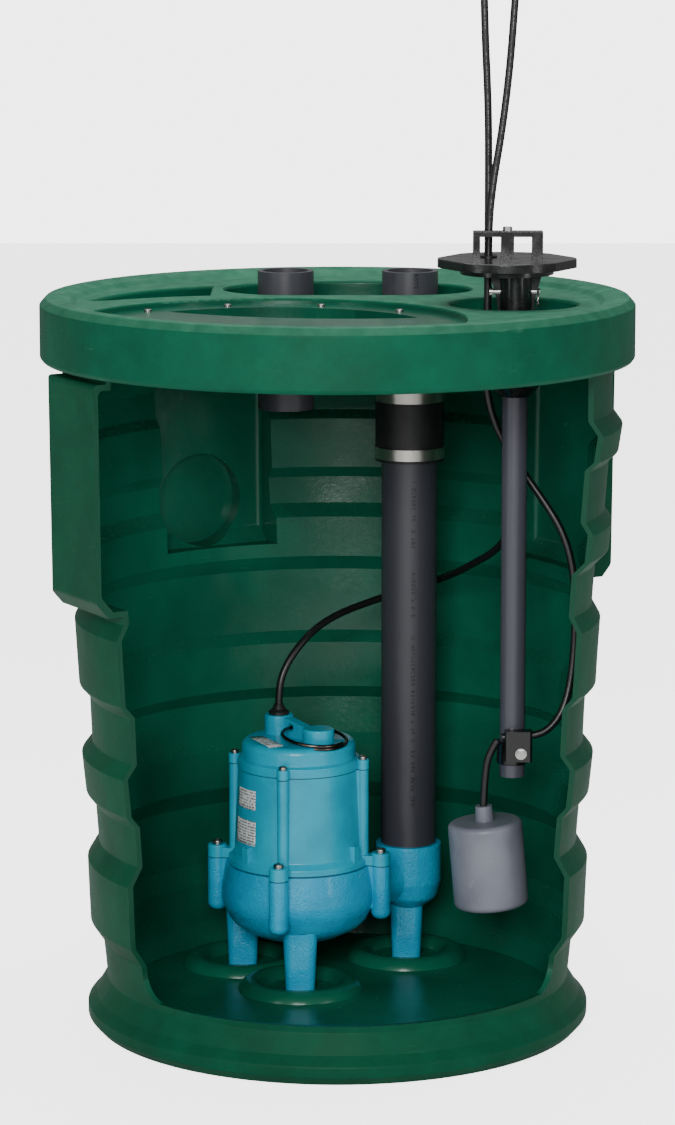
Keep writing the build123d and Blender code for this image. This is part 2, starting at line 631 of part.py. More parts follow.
with BuildPart() as volute_gasket:
    add(tube(FLANGE_R - 0.6, 70, VOLUTE_TOP, HOUSING_BOTTOM, PUMP_AXIS))
    for spot, angle in zip(EAR_SPOTS, BOLT_ANGLES):
        add(post(spot, EAR_R - 0.6, VOLUTE_TOP, HOUSING_BOTTOM))
        add(spoke(angle, 72, EAR_BOLT_R, 13, VOLUTE_TOP, HOUSING_BOTTOM))
    with Locations(*[(*spot, HOUSING_BOTTOM) for spot in EAR_SPOTS]):
        Hole(EAR_SCREW_R + SCREW_CLEARANCE, depth=2 * GASKET_T)
save(volute_gasket.part, "volute_gasket")


def screw(spot, seat, shank_r, length, head_r, head_h):
    with BuildPart() as fastener:
        with BuildSketch(Plane.XY.offset(seat - length)):
            with Locations(spot):
                Circle(shank_r)
        extrude(amount=length)
        with BuildSketch(Plane.XY.offset(seat)):
            with Locations(spot):
                Circle(head_r)
        extrude(amount=head_h)
        fillet(fastener.edges().group_by(Axis.Z)[-1], radius=head_h * 0.45)
        with BuildSketch(Plane.XY.offset(seat + head_h)):
            with Locations(spot):
                RegularPolygon(head_r * 0.4, 6)
        extrude(amount=-head_h * 0.6, mode=Mode.SUBTRACT)
    return fastener.part


with BuildPart() as cap_screws:
    for spot in CAP_SPOTS:
        add(screw(spot, CAP_BOTTOM + CAP_RING_H + 1, SCREW_R, 24, 4.4, 4))
save(cap_screws.part, "cap_screws")

with BuildPart() as volute_screws:
    for spot in EAR_SPOTS:
        add(screw(spot, HOUSING_BOTTOM + EAR_CAP_H, EAR_SCREW_R, 34, 5.4, 4.6))
save(volute_screws.part, "volute_screws")

with BuildPart() as cord_gland:
    add(turned([(0, CORD_BOSS_TOP - GLAND_DEPTH), (GLAND_R - 0.05, CORD_BOSS_TOP - GLAND_DEPTH),
                (GLAND_R - 0.05, CORD_BOSS_TOP), (GLAND_R + 2, CORD_BOSS_TOP), (GLAND_R + 2, CORD_BOSS_TOP + 3),
                (GLAND_R - 1.5, CORD_BOSS_TOP + 5.5), (CORD_R + 1.2, GLAND_TOP - 1),
                (CORD_R + 1.2, GLAND_TOP), (0, GLAND_TOP)], BOSS_SPOT))
save(cord_gland.part, "cord_gland")

BAIL_EYE = Vector(*polar(BAIL_HOLE_AT, HANDLE_ANGLE, PUMP_AXIS), BAIL_HOLE_Z)
BAIL_ALONG = Vector(*polar(1, HANDLE_ANGLE + 90), 0)
BAIL_OUT = Vector(*polar(math.cos(math.radians(BAIL_TILT)), HANDLE_ANGLE), -math.sin(math.radians(BAIL_TILT)))
BAIL_PLANE = Plane(origin=tuple(BAIL_EYE + BAIL_OUT * BAIL_R), x_dir=tuple(BAIL_OUT),
                   z_dir=tuple(BAIL_OUT.cross(BAIL_ALONG)))
LAP_ANGLE = 50
with BuildPart() as bail_ring:
    add(Solid.make_torus(BAIL_R, BAIL_WIRE_R, BAIL_PLANE))
    lap_plane = BAIL_PLANE.offset(1.9 * BAIL_WIRE_R).rotated((0, 0, -LAP_ANGLE))
    with BuildSketch(Plane(origin=lap_plane.origin, x_dir=lap_plane.x_dir, z_dir=-lap_plane.y_dir)):
        with Locations((BAIL_R, 0)):
            Circle(BAIL_WIRE_R)
    revolve(axis=Axis(tuple(lap_plane.origin), tuple(lap_plane.z_dir)), revolution_arc=2 * LAP_ANGLE)
save(bail_ring.part, "bail_ring")


# ================================ Motor and impeller ================================
STATOR_Z = (190.0, 236.0)
COIL_H = 13.0
UPPER_BEARING_Z = CAP_BOTTOM + 7
LOWER_BEARING_Z = HOUSING_BOTTOM + HOUSING_FLOOR_T - BEARING_H
SHAFT_BOTTOM = 100.0
BACK_SHROUD_Z = 130.0

with BuildPart() as stator:
    add(tube(HOUSING_BORE_R, ROTOR_R + AIR_GAP, STATOR_Z[0], STATOR_Z[1], PUMP_AXIS))
save(stator.part, "stator")

with BuildPart() as stator_windings:
    for low in (STATOR_Z[0] - COIL_H, STATOR_Z[1]):
        add(tube(HOUSING_BORE_R - 5, ROTOR_R + 3, low, low + COIL_H, PUMP_AXIS))
save(stator_windings.part, "stator_windings")

with BuildPart() as rotor_core:
    add(tube(ROTOR_R, SHAFT_R, STATOR_Z[0] - 2, STATOR_Z[1] + 2, PUMP_AXIS))
save(rotor_core.part, "rotor_core")

with BuildPart() as motor_shaft:
    add(post(PUMP_AXIS, SHAFT_R, SHAFT_BOTTOM, UPPER_BEARING_Z + BEARING_H, round_low=1, round_high=1))
save(motor_shaft.part, "motor_shaft")

with BuildPart() as upper_bearing:
    add(tube(UPPER_BEARING_R, SHAFT_R + RUNNING, UPPER_BEARING_Z, UPPER_BEARING_Z + BEARING_H, PUMP_AXIS))
save(upper_bearing.part, "upper_bearing")

with BuildPart() as lower_bearing:
    add(tube(LOWER_BEARING_R, SHAFT_R + RUNNING, LOWER_BEARING_Z, LOWER_BEARING_Z + BEARING_H, PUMP_AXIS))
save(lower_bearing.part, "lower_bearing")

with BuildPart() as shaft_seal:
    add(tube(13, SHAFT_R + RUNNING, LOWER_BEARING_Z - 14, LOWER_BEARING_Z, PUMP_AXIS))
save(shaft_seal.part, "shaft_seal")

VANES = 5
with BuildPart() as impeller:
    add(tube(IMPELLER_R, SHAFT_R, BACK_SHROUD_Z, BACK_SHROUD_Z + 5, PUMP_AXIS))
    add(tube(12, SHAFT_R, 106, BACK_SHROUD_Z + 9, PUMP_AXIS))
    for vane in range(VANES):
        with BuildSketch(Plane.XY.offset(108)):
            with BuildLine():
                start = polar(10, vane * 360 / VANES, PUMP_AXIS)
                middle = polar(33, vane * 360 / VANES + 22, PUMP_AXIS)
                end = polar(IMPELLER_R - 2, vane * 360 / VANES + 60, PUMP_AXIS)
                ThreePointArc(start, middle, end)
            trace(line_width=4)
        extrude(amount=BACK_SHROUD_Z - 108)
    with Locations((*PUMP_AXIS, BACK_SHROUD_Z + 9)):
        Hole(SHAFT_R, depth=60)
save(impeller.part, "impeller")

with BuildPart() as impeller_nut:
    with BuildSketch(Plane.XY.offset(100.5)):
        with Locations(PUMP_AXIS):
            RegularPolygon(10, 6)
            Circle(SHAFT_R, mode=Mode.SUBTRACT)
    extrude(amount=5.5)
save(impeller_nut.part, "impeller_nut")


# ================================ Access cover ================================
COVER = (COVER_X, COVER_Y)
GROMMET_SPOT = (CORD_X, (FLOAT_CORD_Y + PUMP_CORD_Y) / 2)
GROMMET_SPAN = PUMP_CORD_Y - FLOAT_CORD_Y
FLAT_ANGLE = 29.0


def grommet_slot(low, high, radius):
    with BuildPart() as slot:
        with BuildSketch(Plane.XY.offset(low)):
            with Locations(Location((*GROMMET_SPOT, 0), 90)):
                SlotCenterToCenter(GROMMET_SPAN, 2 * radius)
        extrude(amount=high - low)
    return slot.part


with BuildPart() as access_cover:
    with BuildSketch(Plane.XY.offset(COVER_Z)):
        with Locations(COVER):
            Circle(COVER_R)
        for angle in (FLAT_ANGLE, 180 - FLAT_ANGLE, 180 + FLAT_ANGLE, -FLAT_ANGLE):
            with Locations(Location((*polar(COVER_FLAT + 20, angle, COVER), 0), angle)):
                Rectangle(40, 2 * COVER_R, mode=Mode.SUBTRACT)
    extrude(amount=COVER_T)
    fillet(access_cover.edges().group_by(Axis.Z)[-1], radius=1.2)
    with BuildSketch(Plane.XY.offset(PLUG_BOTTOM)):
        with Locations(COVER):
            Circle(PLUG_R)
    extrude(amount=PLUG_T)
    add(grommet_slot(PLUG_BOTTOM, COVER_TOP, GROMMET_R), mode=Mode.SUBTRACT)
    with Locations((HANDLE_BOLT_X, COVER_Y, COVER_TOP)):
        Hole(SCREW_R + SCREW_CLEARANCE, depth=COVER_T + 2)
save(access_cover.part, "access_cover")

with BuildPart() as cord_grommet:
    add(grommet_slot(PLUG_BOTTOM, COVER_TOP, GROMMET_R))
    add(grommet_slot(COVER_TOP, COVER_TOP + GROMMET_LIP, GROMMET_R + GROMMET_LIP))
    add(grommet_slot(PLUG_BOTTOM - GROMMET_LIP, PLUG_BOTTOM, GROMMET_R + GROMMET_LIP))
    with Locations((CORD_X, FLOAT_CORD_Y, COVER_TOP + GROMMET_LIP),
                   (CORD_X, PUMP_CORD_Y, COVER_TOP + GROMMET_LIP)):
        Hole(CORD_R + CORD_SLIP, depth=60)
save(cord_grommet.part, "cord_grommet")

with BuildPart() as cover_handle:
    bar_mid = sum(HANDLE_X) / 2
    with BuildSketch(Plane.XY.offset(HANDLE_BAR_Z[0])):
        with Locations((bar_mid, COVER_Y)):
            Rectangle(HANDLE_X[1] - HANDLE_X[0], HANDLE_D)
    extrude(amount=HANDLE_BAR_Z[1] - HANDLE_BAR_Z[0])
    fillet(cover_handle.edges().group_by(Axis.Z)[-1], radius=1.2)
    for left, right in HANDLE_POSTS:
        with BuildSketch(Plane.XY.offset(COVER_TOP)):
            with Locations(((left + right) / 2, COVER_Y)):
                Rectangle(right - left, HANDLE_D)
        extrude(amount=HANDLE_BAR_Z[0] - COVER_TOP)
    with Locations((HANDLE_BOLT_X, COVER_Y, HANDLE_BAR_Z[1])):
        Hole(SCREW_R + SCREW_CLEARANCE, depth=60)
save(cover_handle.part, "cover_handle")

with BuildPart() as handle_bolt:
    with BuildSketch(Plane.XY.offset(COVER_TOP - COVER_T)):
        with Locations((HANDLE_BOLT_X, COVER_Y)):
            Circle(SCREW_R)
    extrude(amount=HANDLE_BAR_Z[1] - COVER_TOP + COVER_T)
    with BuildSketch(Plane.XY.offset(HANDLE_BAR_Z[1])):
        with Locations((HANDLE_BOLT_X, COVER_Y)):
            RegularPolygon(5, 6)
    extrude(amount=4)
save(handle_bolt.part, "handle_bolt")

PIN_PLANE = Plane(origin=(ROD_X, COVER_Y, PIN_Z), x_dir=(0, 1, 0), z_dir=(1, 0, 0))
with BuildPart() as hanger_socket:
    add(post(ROD, SOCKET_R, SOCKET_BOTTOM, PLUG_BOTTOM))
    with BuildSketch(Plane.XZ.offset(-COVER_Y).shift_origin((ROD_X, COVER_Y, 0))):
        with BuildLine():
            Polyline((-27, PLUG_BOTTOM), (27, PLUG_BOTTOM), (20, 770), (SOCKET_R, 752),
                     (-SOCKET_R, 752), (-20, 770), close=True)
        make_face()
    extrude(amount=2.5, both=True)
    with Locations((*ROD, SOCKET_BOTTOM)):
        Hole(ROD_R + SOCKET_FIT, depth=SOCKET_ROOF - SOCKET_BOTTOM)
    with BuildSketch(Plane.XY.offset(SOCKET_BOTTOM)):
        with Locations(ROD):
            Circle(ROD_R + SOCKET_FIT)
    extrude(amount=SOCKET_ROOF - SOCKET_BOTTOM, mode=Mode.SUBTRACT)
    with BuildSketch(PIN_PLANE):
        Circle(PIN_R + SCREW_CLEARANCE)
    extrude(amount=40, both=True, mode=Mode.SUBTRACT)
save(hanger_socket.part, "hanger_socket")

with BuildPart() as float_rod:
    add(tube(ROD_R, ROD_BORE_R, ROD_BOTTOM, SOCKET_ROOF, ROD))
    with BuildSketch(PIN_PLANE):
        Circle(PIN_R + SCREW_CLEARANCE)
    extrude(amount=40, both=True, mode=Mode.SUBTRACT)
save(float_rod.part, "float_rod")

PIN_RING_R = 8.0
PIN_RING_WIRE = 0.7
PIN_REACH = 25.0
PIN_HEAD_AT = 24.5
PIN_HEAD_R = 5.2
PIN_HEAD_T = 3.0
PIN_RING_AT = 23.0
with BuildPart() as socket_pin:
    with BuildSketch(PIN_PLANE.offset(-PIN_HEAD_AT)):
        Circle(PIN_R)
    extrude(amount=PIN_HEAD_AT + PIN_REACH)
    with BuildSketch(PIN_PLANE.offset(-PIN_HEAD_AT - PIN_HEAD_T)):
        Circle(PIN_HEAD_R)
    extrude(amount=PIN_HEAD_T)
    with BuildSketch(Plane.XZ.offset(-COVER_Y)):
        with Locations((ROD_X + PIN_RING_AT, PIN_Z)):
            Circle(1.5)
    extrude(amount=10, both=True, mode=Mode.SUBTRACT)
save(socket_pin.part, "socket_pin")

with BuildPart() as pin_rings:
    add(Solid.make_torus(PIN_RING_R, PIN_RING_WIRE,
                         Plane(origin=(ROD_X + PIN_RING_AT, COVER_Y, PIN_Z - PIN_RING_R), z_dir=(1, 0, 0))))
save(pin_rings.part, "pin_rings")

with BuildPart() as rod_collar:
    add(turned([(ROD_R, COLLAR_Z[0]), (ROD_R + 2.5, COLLAR_Z[0]), (COLLAR_R, COLLAR_Z[0] + 13),
                (COLLAR_R, COLLAR_Z[1]), (ROD_R, COLLAR_Z[1])], ROD))
save(rod_collar.part, "rod_collar")


# ================================ Rod clamp and float ================================
CLAMP_BOLT = (193.0, 293.0)
with BuildPart() as rod_clamp:
    add(post(ROD, CLAMP_R, CLAMP_Z[0], CLAMP_Z[1], round_low=1, round_high=1))
    with BuildSketch(Plane.XY.offset(LUG_Z[0])):
        with Locations(((LUG_X[0] + LUG_X[1]) / 2, (LUG_Y[0] + LUG_Y[1]) / 2)):
            RectangleRounded(LUG_X[1] - LUG_X[0], LUG_Y[1] - LUG_Y[0], 3)
    extrude(amount=LUG_Z[1] - LUG_Z[0])
    add(post(ROD, ROD_R, CLAMP_Z[0] - 1, LUG_Z[1] + 1), mode=Mode.SUBTRACT)
    with BuildSketch(Plane.YZ.offset(LUG_X[0] - 5)):
        with Locations((FLOAT_Y, LUG_CORD_Z)):
            Circle(CORD_R + CORD_SLIP)
    extrude(amount=LUG_X[1] - LUG_X[0] + 10, mode=Mode.SUBTRACT)
    with BuildSketch(Plane.XZ.offset(-LUG_Y[0])):
        with Locations(CLAMP_BOLT):
            Circle(SCREW_R + SCREW_CLEARANCE)
    extrude(amount=-12, mode=Mode.SUBTRACT)
save(rod_clamp.part, "rod_clamp")

with BuildPart() as clamp_bolt:
    with BuildSketch(Plane.XZ.offset(-LUG_Y[0])):
        with Locations(CLAMP_BOLT):
            Circle(SCREW_R)
    extrude(amount=-11)
    with BuildSketch(Plane.XZ.offset(-LUG_Y[0])):
        with Locations(CLAMP_BOLT):
            Circle(6)
    extrude(amount=1.2)
    with BuildSketch(Plane.XZ.offset(-LUG_Y[0] + 1.2)):
        with Locations(CLAMP_BOLT):
            RegularPolygon(4.8, 6)
    extrude(amount=3.6)
save(clamp_bolt.part, "clamp_bolt")

FLOAT_AXIS = Vector(FLOAT_TOP[0] - FLOAT_BOTTOM[0], 0, FLOAT_TOP[1] - FLOAT_BOTTOM[1])
FLOAT_H = FLOAT_AXIS.length
FLOAT_PLANE = Plane(origin=(FLOAT_BOTTOM[0], FLOAT_Y, FLOAT_BOTTOM[1]), x_dir=(0, 1, 0),
                    z_dir=tuple(FLOAT_AXIS))
NECK_TOP = Vector(FLOAT_BOTTOM[0], FLOAT_Y, FLOAT_BOTTOM[1]) + FLOAT_AXIS.normalized() * (FLOAT_H + NECK_H)
CAPSULE_R = 14.0
CAPSULE_H = 52.0
with BuildPart() as float_shell:
    with BuildSketch(FLOAT_PLANE):
        Circle(FLOAT_R)
    extrude(amount=FLOAT_H)
    fillet(float_shell.edges(), radius=FLOAT_ROUND)
    with BuildSketch(FLOAT_PLANE.offset(FLOAT_WALL)):
        Circle(FLOAT_R - FLOAT_WALL)
    extrude(amount=FLOAT_H - 2 * FLOAT_WALL, mode=Mode.SUBTRACT)
save(float_shell.part, "float_shell")

with BuildPart() as float_neck:
    with BuildSketch(FLOAT_PLANE.offset(FLOAT_H)):
        Circle(NECK_R)
    extrude(amount=NECK_H, taper=4)
save(float_neck.part, "float_neck")

with BuildPart() as switch_capsule:
    with BuildSketch(FLOAT_PLANE.offset(FLOAT_H - FLOAT_WALL - CAPSULE_H)):
        Circle(CAPSULE_R)
    extrude(amount=CAPSULE_H)
    with BuildSketch(FLOAT_PLANE.offset(FLOAT_H - FLOAT_WALL - CAPSULE_H + 2)):
        Circle(CAPSULE_R - 2)
    extrude(amount=CAPSULE_H - 12, mode=Mode.SUBTRACT)
save(switch_capsule.part, "switch_capsule")

with BuildPart() as switch_ball:
    add(Solid.make_sphere(8, FLOAT_PLANE.offset(FLOAT_H - FLOAT_WALL - CAPSULE_H + 2 + 8.1)))
save(switch_ball.part, "switch_ball")


# ================================ Cords ================================
def cord_path(points):
    """Straight runs joined by tangent arcs, each as large as its two runs allow."""
    corners = [Vector(*point) for point in points]
    radii = []
    for before, here, after in zip(corners, corners[1:], corners[2:]):
        turn = math.radians((here - before).get_angle(after - here))
        shorter = min((here - before).length, (after - here).length)
        radii.append(0.45 * shorter / math.tan(turn / 2))
    print("cord arc radii", [round(radius) for radius in radii])
    return corners, radii


def cord(points):
    corners, radii = cord_path(points)
    with BuildPart() as flex:
        with BuildLine():
            line = FilletPolyline(*corners, radius=radii)
        with BuildSketch(Plane(origin=line @ 0, z_dir=line % 0)):
            Circle(CORD_R)
        sweep()
    length = line.length
    print("cord length", round(length), "volume ratio",
          round(flex.part.volume / (math.pi * CORD_R ** 2 * length), 4))
    return flex.part


PUMP_CORD_ROUTE = [
    (*BOSS_SPOT, GLAND_TOP), (*BOSS_SPOT, 340), (-55, 97, 363), (-39, 108, 384), (-22, 126, 398),
    (0, 147, 408), (24, 167, 414), (52, 182, 421), (82, 187, 430), (110, 176, 441),
    (131, 150, 454), (148, 116, 470), (166, 80, 487), (180, 48, 508), (186, 30, 545),
    (187, 26, 600), (186, 25.5, 648), (178, 23, 682), (166, 17, 712),
    (CORD_X, PUMP_CORD_Y, 740), (CORD_X, PUMP_CORD_Y, 930), (155.5, PUMP_CORD_Y, 985),
    (152.5, PUMP_CORD_Y, 1040), (151, PUMP_CORD_Y, PLUG_Z),
]
FLOAT_CORD_ROUTE = [
    (173, FLOAT_Y, LUG_CORD_Z), (208, FLOAT_Y, LUG_CORD_Z), (228, -27, 321), (242, -20, 346),
    (249, -13, 388), (251, -9, 440), (248, -6, 488), (237, -2, 524), (219, 4, 553),
    (199, 9.5, 580), (182, 11, 606), (166, 8, 634), (156, 3, 668), (153.5, FLOAT_CORD_Y, 712),
    (CORD_X, FLOAT_CORD_Y, 780), (CORD_X, FLOAT_CORD_Y, 850), (161.5, FLOAT_CORD_Y, 892),
    (169.5, FLOAT_CORD_Y, 940),
    (176, FLOAT_CORD_Y, 992), (180.5, FLOAT_CORD_Y, 1044), (183.5, FLOAT_CORD_Y, PLUG_Z),
]
TETHER_ROUTE = [PIVOT, (160.5, FLOAT_Y, 294), (155.5, FLOAT_Y, 272), tuple(NECK_TOP)]

save(cord(PUMP_CORD_ROUTE), "pump_cord")
save(cord(FLOAT_CORD_ROUTE), "float_cord")
with BuildPart() as float_tether:
    add(cord(TETHER_ROUTE))
    add(Solid.make_sphere(CORD_R, Plane(PIVOT)))
save(float_tether.part, "float_tether")


# ================================ Plugs ================================
PUMP_PLUG = PUMP_CORD_ROUTE[-1]
FLOAT_PLUG = FLOAT_CORD_ROUTE[-1]
BLADE_SPREAD = 12.7
BLADE_H = 16.0

with BuildPart() as pump_plug:
    add(turned([(0, PLUG_Z), (CORD_R + 2, PLUG_Z), (PLUG_BODY_R - 3, PLUG_Z + 16),
                (PLUG_BODY_R, PLUG_Z + 20), (PLUG_BODY_R, PLUG_Z + PLUG_BODY_H),
                (0, PLUG_Z + PLUG_BODY_H)], PUMP_PLUG[:2]))
save(pump_plug.part, "pump_plug")

with BuildPart() as float_plug:
    with BuildSketch(Plane.XY.offset(PLUG_Z)):
        with Locations(FLOAT_PLUG[:2]):
            RectangleRounded(2 * PLUG_BODY_R, 2 * PLUG_BODY_R - 2, 5)
    extrude(amount=PLUG_BODY_H)
    fillet(float_plug.edges().group_by(Axis.Z)[0], radius=3)
save(float_plug.part, "float_plug")


def blades(centre):
    with BuildPart() as prongs:
        with BuildSketch(Plane.XY.offset(PLUG_Z + PLUG_BODY_H)):
            with Locations((centre[0] - BLADE_SPREAD / 2, centre[1] - 3),
                           (centre[0] + BLADE_SPREAD / 2, centre[1] - 3)):
                Rectangle(1.5, 6.35)
            with Locations((centre[0], centre[1] + 7)):
                Circle(2.4)
        extrude(amount=BLADE_H)
    return prongs.part


save(blades(PUMP_PLUG), "pump_plug_blades")
save(blades(FLOAT_PLUG), "float_plug_blades")
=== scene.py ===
import math
import bpy
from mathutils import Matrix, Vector


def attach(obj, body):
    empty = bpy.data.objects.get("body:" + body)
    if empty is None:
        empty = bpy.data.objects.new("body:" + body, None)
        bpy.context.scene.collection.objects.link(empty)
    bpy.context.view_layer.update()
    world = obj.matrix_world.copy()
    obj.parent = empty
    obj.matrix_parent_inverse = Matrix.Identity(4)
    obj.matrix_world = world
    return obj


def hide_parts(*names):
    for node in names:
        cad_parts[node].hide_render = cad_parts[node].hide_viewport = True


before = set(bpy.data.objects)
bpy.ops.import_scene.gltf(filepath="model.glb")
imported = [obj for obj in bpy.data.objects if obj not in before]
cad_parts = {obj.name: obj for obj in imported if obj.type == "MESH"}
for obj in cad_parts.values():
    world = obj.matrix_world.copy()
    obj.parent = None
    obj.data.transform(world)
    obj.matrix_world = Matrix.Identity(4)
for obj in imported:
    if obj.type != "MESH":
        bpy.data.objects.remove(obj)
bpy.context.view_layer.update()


# ---- Basin
# A ribbed tub with a wide window cut in its front wall, standing on its moulded foot.
# Rotomoulded green polyethylene: satin outside, darker and glossier inside, paler on its cut edges,
# with a painted paler sheen on the outer wall's upward-facing faces for the light from above.
class Value:
    """A shader output that adds, multiplies and compares as a number does."""

    def __init__(self, tree, socket):
        self.tree, self.socket = tree, socket

    def node(self, kind, inputs=(), out=0, **settings):
        made = self.tree.nodes.new(kind)
        for key, value in settings.items():
            setattr(made, key, value)
        for key, value in dict(inputs).items():
            if isinstance(value, Value):
                self.tree.links.new(value.socket, made.inputs[key])
            else:
                made.inputs[key].default_value = value
        return Value(self.tree, made.outputs[out])

    def math(self, operation, *others):
        return self.node("ShaderNodeMath", enumerate((self, *others)), operation=operation)

    def __add__(self, other): return self.math("ADD", other)
    def __sub__(self, other): return self.math("SUBTRACT", other)
    def __mul__(self, other): return self.math("MULTIPLY", other)
    __radd__, __rmul__ = __add__, __mul__
    def __truediv__(self, other): return self.math("DIVIDE", other)
    def __gt__(self, other): return self.math("GREATER_THAN", other)
    def __lt__(self, other): return self.math("LESS_THAN", other)

    def __rsub__(self, other):
        return self.node("ShaderNodeMath", {0: other, 1: self}, operation="SUBTRACT")

    def rise(self, low, high):
        """0 below low, 1 above high, and smooth between them; low may be the higher number."""
        return self.node("ShaderNodeMapRange", {0: self, 1: low, 2: high},
                         interpolation_type="SMOOTHSTEP")

    def mix(self, first, second):
        """The colour first where this is 0 and second where it is 1."""
        return self.node("ShaderNodeMix", {0: self, 6: first, 7: second}, out=2, data_type="RGBA")

    def split(self):
        apart = self.tree.nodes.new("ShaderNodeSeparateXYZ")
        self.tree.links.new(self.socket, apart.inputs[0])
        return [Value(self.tree, socket) for socket in apart.outputs]


class Finish:
    """A new material, with the place on the object, the way a face looks and the shader."""

    def __init__(self, name, **plain):
        self.made = bpy.data.materials.new(name)
        self.made.use_nodes = True
        tree = self.made.node_tree
        self.tree = tree
        self.shader = tree.nodes["Principled BSDF"]
        here = Value(tree, None)
        self.place = here.node("ShaderNodeTexCoord", out="Object")
        self.facing = here.node("ShaderNodeNewGeometry", out="Normal")
        for key, value in plain.items():
            self.set(key.replace("_", " "), value)

    def set(self, key, value):
        if isinstance(value, Value):
            self.tree.links.new(value.socket, self.shader.inputs[key])
        else:
            self.shader.inputs[key].default_value = value

    def noise(self, scale, detail=2.0, stretch=(1, 1, 1), rough=0.5):
        place = self.place
        if stretch != (1, 1, 1):
            place = place.node("ShaderNodeVectorMath", {0: place, 1: stretch}, operation="MULTIPLY")
        return place.node("ShaderNodeTexNoise", {"Vector": place, "Scale": scale, "Detail": detail,
                                                 "Roughness": rough})

    def bump(self, *layers):
        """Heights in metres, laid one over the other."""
        height = layers[0]
        for layer in layers[1:]:
            height = height + layer
        self.set("Normal", height.node("ShaderNodeBump",
                                       {"Height": height, "Distance": 1.0, "Strength": 1.0}))

    def wear(self, *nodes):
        for node in nodes:
            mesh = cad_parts[node].data
            mesh.materials.clear()
            mesh.materials.append(self.made)
        return self


def colour(red, green, blue):
    """A screen colour, 0 to 255, as the linear colour that the shader takes."""
    return tuple(((part / 255 + 0.055) / 1.055) ** 2.4 if part > 10 else part / 255 / 12.92
                 for part in (red, green, blue)) + (1,)


def shade(tint, amount):
    """The same colour, darker under 1 and paler over 1."""
    return tuple(part * amount for part in tint[:3]) + (1,)


def moulded(name, outer, inner, is_inner, edge, haze, top_sheen_amount):
    """Moulded polyethylene: is_inner says where the glossier side is and edge where it is cut; haze
    is the pale colour of the scuffs and of the painted sheen on upward faces, and top_sheen_amount
    says where that painted sheen goes.
    """
    green = Finish(name)
    x, y, z = green.place.split()
    nx, ny, nz = green.facing.split()
    radius = (x * x + y * y).math("SQRT")
    outward = (x * nx + y * ny) / (radius + 0.001)
    within = is_inner(radius, z, outward, nz)
    cut = edge(x, y, z, outward, nz)
    mottle = green.noise(9, 3).rise(0.3, 0.7)
    fine = green.noise(180, 3)
    cloud = green.noise(34, 4, rough=0.6).rise(0.35, 0.7)
    outside = (mottle * 0.4 + cloud * 0.3 + fine * 0.3).mix(shade(outer, 0.8), shade(outer, 1.45))
    inside = mottle.mix(inner, shade(inner, 1.5))
    scuffs = (green.noise(26, 5, stretch=(1, 1, 6), rough=0.65).rise(0.6, 0.78)
              * green.noise(5, 2).rise(0.48, 0.62))
    # Painted sheen: faces that look upwards are painted towards the pale haze colour, standing in for
    # the light from above.
    painted_top_sheen = ((nz.rise(0.35, 0.95) * top_sheen_amount(z, radius))
            * (green.noise(60, 4).rise(0.25, 0.75) * 0.6 + 0.4))
    base = within.mix(outside, inside)
    base = (scuffs * 0.35 * within.rise(1, 0)).mix(base, haze)
    base = painted_top_sheen.mix(base, haze)
    base = cut.mix(base, shade(outer, 0.9))
    green.set("Base Color", base)
    green.set("Roughness", (0.5 - within * 0.26) + (fine - 0.5) * 0.14 + scuffs * 0.1 + painted_top_sheen * 0.2)
    green.set("Specular IOR Level", within * 0.26 + 0.12)
    saw = green.noise(420, 2, stretch=(1, 1, 0.12)) * 0.0004 * cut
    green.bump(fine * 0.00016, green.noise(520, 2) * 0.00008, green.noise(7, 2) * 0.006, saw)
    return green


WINDOW_Y, WINDOW_FOOT, WINDOW_HEAD = -0.07, 0.05, 0.70
SILL_Z, SILL_SLACK = 0.057, 0.0002
FLOOR_R, FLOOR_LIMIT, RIM_UNDERSIDE = 0.243, 0.056, 0.757


def cut_wall(x, y, z, outward, nz):
    """The sawn faces of the window: they look along the wall or, at its foot, straight up."""
    sides = (outward.math("ABSOLUTE") < 0.12) * (nz.math("ABSOLUTE") < 0.25)
    front = (y < WINDOW_Y) * (z > WINDOW_FOOT) * (z < WINDOW_HEAD)
    sill = (nz > 0.97) * (z > SILL_Z - SILL_SLACK) * (z < SILL_Z + SILL_SLACK)
    return ((sides + sill) * front).math("MINIMUM", 1.0)


def inside_basin(radius, z, outward, nz):
    """The wall's inner face, which looks towards the axis, and the floor."""
    floor_face = (radius < FLOOR_R) * (nz > 0.2) * (z < FLOOR_LIMIT)
    return outward.rise(0.12, -0.1).math("MAXIMUM", floor_face) * (z < RIM_UNDERSIDE)


# The pale colour is shared by the scuffs and the painted sheen; the lambda puts that painted sheen on
# the outer wall's upward faces.
moulded("basin_green", (0.0006, 0.062, 0.030, 1), (0.0006, 0.083, 0.045, 1), inside_basin, cut_wall,
        colour(58, 118, 92), lambda z, radius: (z > 0.03) * (radius > 0.236) * 0.16).wear("basin")


